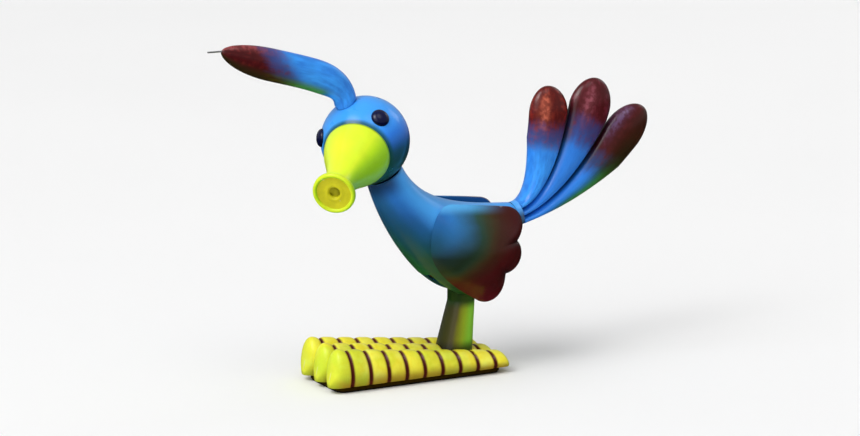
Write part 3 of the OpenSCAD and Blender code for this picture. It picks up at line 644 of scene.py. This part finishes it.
def make_toe(k, node):
    sides = 72
    per_rib = 26
    rib_len = (TOE_REACH + TOE_HEEL) / TOE_RIBS
    rings = []
    values = {"groove": [], "low": [], "end": [], "shoulder": [], "seam": []}
    for i in range(TOE_RIBS * per_rib + 1):
        t = i / (TOE_RIBS * per_rib)
        along = t * (TOE_REACH + TOE_HEEL)
        nearest = along - rib_len * round(along / rib_len)
        inner = 0 < round(along / rib_len) < TOE_RIBS
        cut = math.exp(-(nearest / 0.55) ** 2) if inner else 0
        mark = math.exp(-(nearest / 1.15) ** 2) if inner else 0
        belly = math.cos(math.pi * nearest / rib_len)
        bulge = 1 - 0.075 * (1 - abs(math.sin(math.pi * along / rib_len))) ** 2
        scale = toe_profile(t) * bulge
        height = scale * mix(TOE_FRONT_H, TOE_REAR_H, t) - 0.55 * cut
        half = scale * TOE_PITCH / 2 - 0.02 - 0.45 * cut
        ring = []
        for a in turns(sides):
            lean = 0.9 * math.sin(a)
            rise = max(0, height * mix(math.sin(a), 1, 0.42))
            ring.append((TOE_PITCH * k - half * math.cos(a), along - TOE_REACH - lean * min(1, 8 * t),
                         PLATE_TOP + rise))
            values["groove"].append(mark)
            # Lower flanks, for their painted shade.
            values["low"].append(smoothstep(0.35, -0.75, math.sin(a)))
            toward_next = [(-1 if k < 1 else 0) * math.cos(a), (1 if k > -1 else 0) * math.cos(a)]
            # Sides that face the next toe, for the painted shade in the gaps.
            values["seam"].append(smoothstep(0.86, 0.98, max(toward_next)) * smoothstep(0.05, 0.16, t))
            values["end"].append(smoothstep(0.07, 0.0, t) + smoothstep(0.95, 1.0, t))
            values["shoulder"].append(smoothstep(2.6, 0.6, -nearest) * (nearest < 0) * (0.5 + 0.5 * belly))
        rings.append(ring)
    return finish_piece(loft(node + "_skin", rings, values), "stand", "toe_yellow", TOE_PAINT, node)


def make_leg():
    sides = 96
    rings = []
    for i in range(91):
        z = mix(SLEEVE_FOOT, SLEEVE_TOP, i / 90)
        down = max(0, SLEEVE_BEND - z)
        slant = down / math.cos(SLEEVE_TILT)
        r = SLEEVE_R + (SLEEVE_FOOT_R - SLEEVE_R) * slant / SLEEVE_LEN
        r -= 0.5 * smoothstep(SLEEVE_TOP - 1, SLEEVE_TOP, z)
        soft = 1.2 * math.exp(-down / 2.5) if z < SLEEVE_BEND else 0
        y = SLEEVE_Y - math.tan(SLEEVE_TILT) * max(0, down - soft * down / 4)
        rings.append([(r * math.cos(a), y + r * math.sin(a), z) for a in turns(sides)])
    return finish_piece(loft("leg_sleeve_skin", rings), "stand", "leg_green", leg_paint(), "leg_sleeve")


# ---- Body ----
def body_section(t, inset, angles):
    """Points of the body's section; angle pi/2 is the back's ridge, 0 the left side, -pi/2 the keel."""
    a = bezier(TOP_LINE, t)
    b = bezier(KEEL_LINE, t)
    w = bezier(HALF_WIDTHS, t) - inset
    h = (a - b).length / 2 - inset
    up = (a - b).normalized()
    return [(a + b) / 2 + Vector((w * math.cos(q), 0, 0)) + h * math.sin(q) * up for q in angles]


def section_at(y, z):
    """The body section's place along the bird, from 0 to 1, that a point of the middle plane lies in."""
    low, high = 0.0, 1.0
    for _ in range(24):
        t = (low + high) / 2
        a = bezier(TOP_LINE, t)
        b = bezier(KEEL_LINE, t)
        if (a.y - b.y) * (z - b.z) - (a.z - b.z) * (y - b.y) < 0:
            low = t
        else:
            high = t
    return (low + high) / 2


def body_side(y, z):
    """Distance of the body's side from its middle plane."""
    t = section_at(y, z)
    a = bezier(TOP_LINE, t)
    b = bezier(KEEL_LINE, t)
    u = (Vector((0, y, z)) - (a + b) / 2).dot((a - b).normalized()) / ((a - b).length / 2)
    return bezier(HALF_WIDTHS, t) * math.sqrt(max(0, 1 - u * u))


def leg_cutter():
    """Wedge that the leg needs, from the forward dip to the backward one."""
    reach = 60
    front = Vector((-math.cos(DIP_FORWARD), math.sin(DIP_FORWARD))) * LEG_ROOM / 2
    back = Vector((math.cos(DIP_BACK), math.sin(DIP_BACK))) * LEG_ROOM / 2
    down = Vector((-math.sin(DIP_FORWARD), -math.cos(DIP_FORWARD))) * reach
    down_back = Vector((math.sin(DIP_BACK), -math.cos(DIP_BACK))) * reach
    outline = [front, front + down, back + down_back, back]
    rings = [[(x, PIVOT.y + p.x, PIVOT.z + p.y) for p in outline] for x in (-LEG_ROOM / 2, LEG_ROOM / 2)]
    return loft("leg_cutter", rings)


def carve(piece, cutter):
    """Takes the cutter's shape out of the piece and keeps the result as its mesh."""
    change = piece.modifiers.new("carve", "BOOLEAN")
    change.operation = "DIFFERENCE"
    change.solver = "EXACT"
    change.object = cutter
    ready = piece.evaluated_get(bpy.context.evaluated_depsgraph_get())
    piece.data = bpy.data.meshes.new_from_object(ready)
    piece.modifiers.clear()
    piece.data.shade_smooth()
    piece.data.set_sharp_from_angle(angle=math.radians(40))


def beside_seam(x):
    """Distance from the middle plane, with half the seam's gap left free."""
    return max(x, 0) + SEAM / 2 * math.exp(-x / 0.2)


def make_shell(side, node, cutter):
    """Half of the body: its outside from ridge to keel, then its inside back up, lofted along the bird."""
    steps = 150
    n = 80
    shares = [j / n for j in range(n + 1)]
    rings = []
    for i in range(steps + 1):
        t = i / steps
        lip = 0.5 * (math.exp(-t * 220) + math.exp(-(1 - t) * 220))
        middle = (bezier(TOP_LINE, t) + bezier(KEEL_LINE, t)) / 2
        outer = body_section(t, lip, [math.pi * (0.5 - q) for q in shares])
        inner = body_section(t, SHELL_WALL - lip * 0.3, [math.pi * (q - 0.5) for q in shares])
        ring = []
        for p in outer:
            inward = (middle - p).normalized() * SEAM * math.exp(-(p.x / 0.35) ** 2)
            ring.append((side * beside_seam(p.x), p.y + inward.y, p.z + inward.z))
        ring += [(side * beside_seam(p.x), p.y, p.z) for p in inner]
        rings.append(ring)
    size = len(rings[0])
    points = [p for ring in rings for p in ring]
    faces = walls(steps, size)
    for first in (0, steps * size):
        faces += [(first + j, first + j + 1, first + size - 2 - j, first + size - 1 - j)
                  for j in range(n)]
    piece = mesh_object(node + "_skin", points, faces, sharp_angle=40)
    carve(piece, cutter)
    return finish_piece(piece, "body", "body_blue", MATERIALS["body_blue"], node)


# ---- Wings ----
WING_ROUNDS = [bezier(WING_FRONT, i / 60) for i in range(61)]
WING_ROUNDS += [bezier(WING_UPPER, i / 60) for i in range(1, 61)] + [FEATHER_TIP]


def wing_edge(a):
    """Distance from the wing's middle to its outline, in the direction a."""
    way = Vector((math.cos(a), math.sin(a)))
    far = 0
    for y, z, r in WING_ROUNDS:
        e = Vector((y - WING_MID[0], z - WING_MID[1]))
        b = e.dot(way)
        q = b * b - e.dot(e) + r * r
        if q >= 0:
            far = max(far, b + math.sqrt(q))
    return far


def to_segment(p, a, b):
    """Distance of p from the segment, and how far along the segment it lies, from 0 to 1."""
    p, a, b = Vector(p), Vector(a), Vector(b)
    t = min(1, max(0, (p - a).dot(b - a) / (b - a).length_squared))
    return (p - a - t * (b - a)).length, t


def wing_valley(y, z):
    """1 in the bottom of a valley at the wing's edge, 0 away from it."""
    deep = 0
    for outer, inner in FEATHER_VALLEYS:
        gap, t = to_segment((y, z), outer, inner)
        deep = max(deep, math.exp(-(gap / 2.2) ** 2) * (1 - smoothstep(0.1, 1, t)))
    return deep


def wing_base(y, z):
    """Distance of the wing's inner face from the middle plane.

    It follows the body's side, and passes softly into a plane at WING_LEAST where the body is narrower.
    """
    side = body_side(y, z)
    return (side + WING_LEAST + math.sqrt((side - WING_LEAST) ** 2 + WING_EASE)) / 2 - 0.45


def make_wing(side, node):
    around = 300
    shares = [0.05 + 0.85 * i / 30 for i in range(31)] + [0.92, 0.94, 0.96, 0.975, 0.987, 0.995, 1.0]
    edges = [wing_edge(a) for a in turns(around)]
    rings = []
    values = {"valley": [], "rim": [], "inner": []}

    def add_ring(share, top):
        ring = []
        for a, edge in zip(turns(around), edges):
            y = WING_MID[0] + share * edge * math.cos(a)
            z = WING_MID[1] + share * edge * math.sin(a)
            valley = wing_valley(y, z)
            behind = smoothstep(-12, 10, y)
            rim = mix(0.12, 0.9, behind)
            crown = mix(1 - share ** 2, math.sqrt(max(0, 1 - share ** 3.2)), behind)
            rise = (rim + (WING_T - rim) * crown * (1 - 0.08 * valley)) if top else 0
            ring.append((side * (wing_base(y, z) + WING_GAP + rise), y, z))
            # Marks the valleys between the feathers for their painted shade.
            values["valley"].append(valley * smoothstep(0.35, 0.8, share) if top else 0)
            values["rim"].append(share * smoothstep(-6, 14, y) if top else 0)
            values["inner"].append(0 if top else 1)
        rings.append(ring)

    for share in [0.05 + 0.93 * i / 18 for i in range(19)]:
        add_ring(share, False)
    for share in reversed(shares):
        add_ring(share, True)
    return finish_piece(loft(node + "_skin", rings, values), "body", "wing_paint", WING_PAINT, node)


# ---- Plumes ----
def oval_ring(middle, across, up, half_across, half_up, n, ripple):
    return [middle + across * half_across * math.cos(a) * ripple(a) + up * half_up * math.sin(a) * ripple(a)
            for a in turns(n)]


def plume_reach(k, side, t):
    """How far plume k reaches from its spine to the rear (side 1) or the front (side -1)."""
    other = k + side
    free = other not in (0, 1, 2)
    low = (0 if k == 0 else 1) if free else min(k, other)
    gap = (bezier(TAIL_SPINES[low], t) - bezier(TAIL_SPINES[low + 1], t)).length
    most = PLUME_W / 2 - PLUME_SHY if free else PLUME_W / 2 * INNER_SWELL
    return min(most, PLUME_SHARES[low] * gap)


def plume_values():
    """The numbers per point that plume_paint reads, still empty."""
    return {key: [] for key in ("along", "side", "flank", "under", "gleam_share", "valley")}


def plume_stations(steps, end_steps, full, spare):
    """Places along a plume: even up to its full width, then crowding towards the tip."""
    even = steps - end_steps
    return [full * i / even if i <= even else
            full + (1 - full) * math.sin(math.pi / 2 * (i - even) / (end_steps + spare))
            for i in range(steps + 1)]


def ripples(count, t, grain):
    """Fine carved lines: the share of a section's size at each angle."""
    return lambda a: 1 - 0.006 * grain * (0.5 + 0.5 * math.sin(count * a + 4 * math.sin(5 * t + 2 * a)))


# Where each tail plume's painted highlight (gleam) lies across it, from -1 at its front to 1 at its rear
GLEAM_AT = [-0.45, -0.35, -0.8]


def make_tail_plume(k, node, material):
    full = PLUME_ROUND_FROM
    n = 80
    rings = []
    values = plume_values()
    across = Vector((1, 0, 0))
    for t in plume_stations(130, 40, full, 0.4):
        tip = math.sqrt(max(0, 1 - (max(0, t - full) / (1 - full)) ** 2))
        up = heading(TAIL_SPINES[k], t).cross(across)
        ripple = ripples(17, t, smoothstep(0.45, 0.8, t) * (1 - smoothstep(0.93, 1, t)))
        rear = plume_reach(k, 1, t)
        front = plume_reach(k, -1, t)
        middle = bezier(TAIL_SPINES[k], t) + up * tip * (rear - front) / 2
        rings.append(oval_ring(middle, across, up, max(0.05, tip * PLUME_T / 2),
                               max(0.05, tip * (rear + front) / 2), n, ripple))
        for a in turns(n):
            values["along"].append(t)
            values["side"].append(0.5 + 0.5 * math.sin(a))
            values["flank"].append(math.cos(a))
            reach = smoothstep(0.05, 0.4, t) * (1 - 0.5 * smoothstep(0.75, 1, t))
            values["under"].append(smoothstep(-0.75, 0.6, math.sin(a)) * reach if k == 2 else 0)
            # Band of the painted highlight along the tip.
            gleam = math.exp(-((math.sin(a) - GLEAM_AT[k]) / 0.22) ** 2) * smoothstep(0.7, 0.88, t)
            values["gleam_share"].append(gleam * (1 - smoothstep(0.93, 0.99, t)))
            # Painted shade in the valleys where the plumes meet.
            inner = max(0, math.sin(a)) if k < 2 else 0
            outer = max(0, -math.sin(a)) if k > 0 else 0
            near_tip = smoothstep(0.08, 0.5, t) * (1 - smoothstep(0.8, 0.95, t))
            shade = mix(0.12, 1, near_tip) * (1 - smoothstep(0.8, 0.95, t))
            values["valley"].append(smoothstep(0.74, 1.0, max(inner, outer)) * shade)
    return finish_piece(loft(node + "_skin", rings, values), "body", "plume_paint", material, node)


def make_crest():
    full = CREST_ROUND_FROM
    n = 80
    rings = []
    values = plume_values()
    across = Vector((1, 0, 0))
    for i, t in enumerate(plume_stations(150, 50, full, 0.3)):
        tip = (1 - (max(0, t - full) / (1 - full)) ** 2.2) ** 0.55
        up = heading(CREST_SPINE, t).cross(across)
        swell = math.sin(math.pi / 2 * min(1, t / 0.45)) ** 2
        thick = mix(CREST_ROOT_D, CREST_T, swell)
        deep = mix(CREST_ROOT_D, CREST_W, swell)
        ripple = ripples(15, t, smoothstep(0.5, 0.8, t) * (1 - smoothstep(0.93, 1, t)))
        ring = oval_ring(bezier(CREST_SPINE, t), across, up, max(0.08, tip * thick / 2),
                         max(0.08, tip * deep / 2), n, ripple)
        if i == 0:
            ring = [onto_head(p) for p in ring]
        elif i < 6:
            ring = [p if (p - HEAD_MID).length > HEAD_R + 0.9 else onto_head(p, CREST_GAP + 0.1 * i)
                    for p in ring]
        rings.append(ring)
        for a in turns(n):
            values["along"].append(t)
            values["side"].append(0.5 + 0.5 * math.sin(a))
            values["flank"].append(math.cos(a))
            values["under"].append(smoothstep(-0.2, -0.9, math.sin(a)) * smoothstep(0.2, 0.4, t))
            # Painted highlight along the crest's top side.
            values["gleam_share"].append(smoothstep(0.4, 0.95, math.sin(a)))
            values["valley"].append(0)
    piece = loft("crest_plume_skin", rings, values)
    return finish_piece(piece, "body", "crest_paint", CREST_PAINT, "crest_plume")


def onto_head(p, gap=CREST_GAP):
    """Moves a point along the neck's axis until it is just clear of the head's ball."""
    off = p - HEAD_MID
    side = off - off.dot(NECK_WAY) * NECK_WAY
    reach = math.sqrt(max(0, (HEAD_R + gap) ** 2 - side.length_squared))
    return HEAD_MID + side + reach * NECK_WAY


# ---- Head ----
def make_head():
    steps = 96
    profile = [(HEAD_R * math.sin(math.pi * i / steps), -HEAD_R * math.cos(math.pi * i / steps))
               for i in range(1, steps)]
    piece = lathe("head_shell_skin", profile, HEAD_PLACE, sides=192)
    return finish_piece(piece, "head", "head_blue", head_paint(), "head_shell")


def make_bill():
    """Trumpet from a rolled root on the head, through the waist, to a rounded lip and a dished end."""
    root_z = math.sqrt(HEAD_R ** 2 - BILL_BASE_R ** 2)
    cone = [Vector((BILL_BASE_R, root_z + 0.3)), Vector((BILL_BASE_R - 1, 25)),
            Vector((BILL_WAIST_R + 1, 34)), Vector((BILL_WAIST_R, BILL_REACH - 9))]
    flare = [Vector((BILL_WAIST_R, BILL_REACH - 9)), Vector((BILL_WAIST_R, BILL_REACH - 5)),
             Vector((BILL_BELL_R - 2.4, BILL_REACH - 5.2)), Vector((BILL_BELL_R, BILL_REACH - 2.2))]
    profile = [(BILL_BASE_R - 1.4, root_z + 0.8), (BILL_BASE_R - 0.35, root_z - 0.25)]
    profile += [tuple(bezier(cone, i / 48)) for i in range(49)]
    profile += [tuple(bezier(flare, i / 24)) for i in range(1, 25)]
    lip = 1.1
    profile += [(BILL_BELL_R - lip + lip * math.cos(q), BILL_REACH - 1.35 + 1.3 * math.sin(q))
                for q in [math.pi * i / 20 for i in range(1, 20)]]
    profile += [(BILL_FELT_R + 0.15, BILL_REACH - 1.7), (BILL_FELT_R, BILL_DISH),
                (BILL_HOLE_R + 0.5, BILL_DISH), (BILL_HOLE_R, BILL_DISH - 0.5),
                (BILL_HOLE_R, BILL_REACH - 12), (0.05, BILL_REACH - 12)]
    piece = lathe("bill_skin", profile, BILL_PLACE, sides=200)
    return finish_piece(piece, "head", "bill_yellow", bill_paint(), "bill")


def make_bill_felt():
    """Felt ring in the bill's end, raised into a soft rim round the mouth hole."""
    outer = BILL_FELT_R - 0.05
    inner = BILL_HOLE_R + 0.2
    profile = [(inner, BILL_DISH + 0.02)]
    for i in range(33):
        s = i / 32
        r = mix(inner, outer, s)
        rise = 1.0 + 0.55 * math.exp(-((r - inner - 1.0) / 0.9) ** 2) + 0.7 * s ** 2
        profile.append((r, BILL_DISH + rise - 0.5 * math.exp(-(r - inner) / 0.25)))
    profile.append((outer, BILL_DISH + 0.02))
    piece = lathe("bill_felt_skin", profile, BILL_PLACE, sides=160, sharp_angle=70)
    return finish_piece(piece, "head", "bill_felt", dish_paint(), "bill_felt")


def make_eye(side, node):
    low = math.sqrt(HEAD_R ** 2 - EYE_R ** 2)
    rise = HEAD_R + EYE_RISE - low
    profile = [(EYE_R - 0.5, low - 0.8), (EYE_R, low - 0.1)]
    profile += [(EYE_R * math.cos(q) ** 0.9, low + rise * math.sin(q))
                for q in [math.pi / 2 * i / 30 for i in range(1, 30)]]
    piece = lathe(node + "_skin", profile, eye_place(side), sides=120)
    return finish_piece(piece, "head", "eye_navy", EYE_GLOSS, node)


# ---- Stage ----
CAMERA_AZIMUTH = math.radians(62)
CAMERA_RISE = math.radians(11.5)
CAMERA_DISTANCE = 1.5
CAMERA_AIM = Vector((-0.0018, -0.0160, 0.0788))
CAMERA_LENS = 125.6
SOFTBOX_DISTANCE = 3.0
# The studio's even light, and what is left of it below the horizon
STUDIO_EVEN = 0.38
STUDIO_BELOW = 0.04
# Each glow: its turn from the camera's direction, its height, its inner and outer angle, its strength
STUDIO_GLOWS = [(-50, 48, 8, 26, 5.2), (35, 62, 6, 22, 1.6)]


def toward(azimuth, rise):
    return Vector((math.sin(azimuth) * math.cos(rise), -math.cos(azimuth) * math.cos(rise), math.sin(rise)))


def aim_at(thing, place, target):
    thing.location = place
    thing.rotation_euler = (target - place).to_track_quat("-Z", "Y").to_euler()


def make_camera():
    data = bpy.data.cameras.new("camera")
    data.lens = CAMERA_LENS
    data.sensor_width = 36
    camera = bpy.data.objects.new("camera", data)
    bpy.context.scene.collection.objects.link(camera)
    aim_at(camera, CAMERA_AIM + CAMERA_DISTANCE * toward(CAMERA_AZIMUTH, CAMERA_RISE), CAMERA_AIM)
    bpy.context.scene.camera = camera


def softbox(name, turn, rise, size, power):
    """Square light placed by its angle from the camera's direction."""
    data = bpy.data.lights.new(name, "AREA")
    data.shape = "SQUARE"
    data.size = size
    data.energy = power
    lamp = bpy.data.objects.new(name, data)
    bpy.context.scene.collection.objects.link(lamp)
    way = toward(CAMERA_AZIMUTH + math.radians(turn), math.radians(rise))
    aim_at(lamp, CAMERA_AIM + SOFTBOX_DISTANCE * way, CAMERA_AIM)


def make_floor():
    half = 12.0
    mesh = bpy.data.meshes.new("floor")
    corners = [(-half, -half, 0), (half, -half, 0), (half, half, 0), (-half, half, 0)]
    mesh.from_pydata(corners, [], [(0, 1, 2, 3)])
    floor = bpy.data.objects.new("floor", mesh)
    bpy.context.scene.collection.objects.link(floor)
    look = Look("floor_paper", 0.9)
    mesh.materials.append(look.finish(look.blend(look.noise(3, 2), "F4F4F4", "F7F7F7")))
    # The paint would otherwise mirror the pale floor and look veiled from below
    floor.visible_glossy = False


def make_world():
    """Even pale studio with one broad glow towards the key side and a dimmer one behind."""
    world = bpy.data.worlds.new("studio")
    bpy.context.scene.world = world
    world.use_nodes = True
    tree = world.node_tree
    way = tree.nodes.new("ShaderNodeTexCoord").outputs["Generated"]
    total = None
    for turn, rise, inner, outer, power in STUDIO_GLOWS:
        dot = tree.nodes.new("ShaderNodeVectorMath")
        dot.operation = "DOT_PRODUCT"
        tree.links.new(way, dot.inputs[0])
        dot.inputs[1].default_value = toward(CAMERA_AZIMUTH + math.radians(turn), math.radians(rise))
        glow = tree.nodes.new("ShaderNodeMapRange")
        glow.interpolation_type = "SMOOTHSTEP"
        tree.links.new(dot.outputs["Value"], glow.inputs["Value"])
        glow.inputs["From Min"].default_value = math.cos(math.radians(outer))
        glow.inputs["From Max"].default_value = math.cos(math.radians(inner))
        glow.inputs["To Max"].default_value = power
        add = tree.nodes.new("ShaderNodeMath")
        add.operation = "ADD"
        add.inputs[0].default_value = STUDIO_EVEN
        if total:
            tree.links.new(total, add.inputs[0])
        tree.links.new(glow.outputs["Result"], add.inputs[1])
        total = add.outputs[0]
    height = tree.nodes.new("ShaderNodeSeparateXYZ")
    tree.links.new(way, height.inputs[0])
    above = tree.nodes.new("ShaderNodeMapRange")
    tree.links.new(height.outputs["Z"], above.inputs["Value"])
    above.inputs["From Min"].default_value = -0.12
    above.inputs["From Max"].default_value = 0.02
    above.inputs["To Min"].default_value = STUDIO_BELOW
    strength = tree.nodes.new("ShaderNodeMath")
    strength.operation = "MULTIPLY"
    tree.links.new(total, strength.inputs[0])
    tree.links.new(above.outputs["Result"], strength.inputs[1])
    tree.links.new(strength.outputs[0], tree.nodes["Background"].inputs["Strength"])
    tree.nodes["Background"].inputs["Color"].default_value = (1, 1, 1, 1)


def make_stage():
    make_camera()
    make_floor()
    make_world()
    softbox("key", -42, 46, size=0.7, power=6.0)
    softbox("fill", -28, 26, size=2.2, power=17.0)
    softbox("rim", 130, 30, size=1.0, power=5.0)
    bpy.context.scene.view_settings.view_transform = "Standard"
    bpy.context.scene.view_settings.look = "None"


# ---- The bird ----
TOE_PAINT = toe_paint()
WING_PAINT = wing_paint()
CREST_PAINT = plume_paint("crest_paint", 0.71, "420206", "641414", "9C4648", skew=0.16)
EYE_GLOSS = eye_gloss()

dress_frame()
for toe_index, toe_node in ((1, "toe_left"), (0, "toe_middle"), (-1, "toe_right")):
    make_toe(toe_index, toe_node)
make_leg()
slot_cutter = leg_cutter()
make_shell(1, "body_shell_left", slot_cutter)
make_shell(-1, "body_shell_right", slot_cutter)
bpy.data.objects.remove(slot_cutter)
make_wing(1, "wing_left")
make_wing(-1, "wing_right")
make_tail_plume(0, "tail_plume_front",
                plume_paint("front_plume_paint", 0.735, "540A06", "8C2618", "CC6A50"))
make_tail_plume(1, "tail_plume_middle",
                plume_paint("middle_plume_paint", 0.73, "4A080E", "6E2030", "944C58", root="2E80E4"))
make_tail_plume(2, "tail_plume_rear",
                plume_paint("rear_plume_paint", 0.655, "460204", "5C0C12", "6C5078",
                            turn="26221C", root="2E84EA"))
make_crest()
make_head()
make_bill()
make_bill_felt()
make_eye(1, "eye_left")
make_eye(-1, "eye_right")
make_stage()
